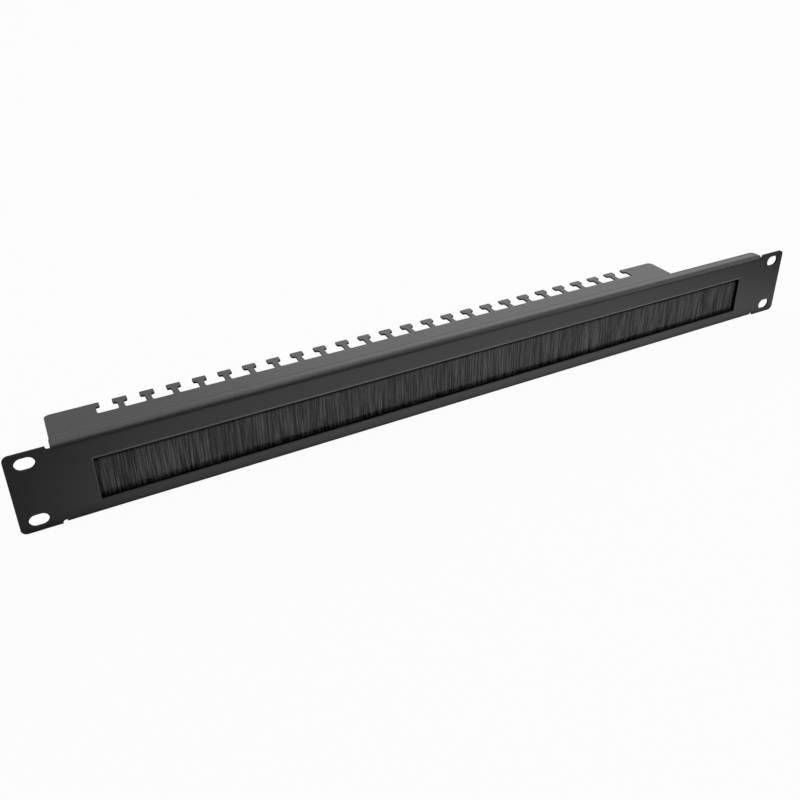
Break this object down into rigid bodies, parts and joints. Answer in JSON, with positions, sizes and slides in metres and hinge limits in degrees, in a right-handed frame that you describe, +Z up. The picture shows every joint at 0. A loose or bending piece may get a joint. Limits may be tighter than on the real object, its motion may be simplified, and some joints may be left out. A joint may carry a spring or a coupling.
{
  "type": "rack brush strip panel",
  "caption": "Folded steel rack panel, one unit high, with a brush strip behind its window and a cable tray with a T-tooth lacing comb.",
  "frame": {"origin": "centre of the four rack slots, on the outer front face", "axes": "+X along the panel to the right as seen from in front, +Y back into the rack, +Z up"},
  "size_m": [0.4826, 0.098, 0.0436],
  "materials": {
    "black_coat": "fine satin powder coat",
    "filament": "matt nylon filament",
    "zinc_steel": "bright zinc plate"
  },
  "bodies": {
    "root": {"panel": "black_coat", "clamp_bar": "black_coat", "bristle_curtain": "filament", "brush_channel": "zinc_steel", "core_wire": "zinc_steel", "weld_studs": "zinc_steel", "lock_washers": "zinc_steel", "hex_nuts": "zinc_steel"}
  },
  "joints": []
}
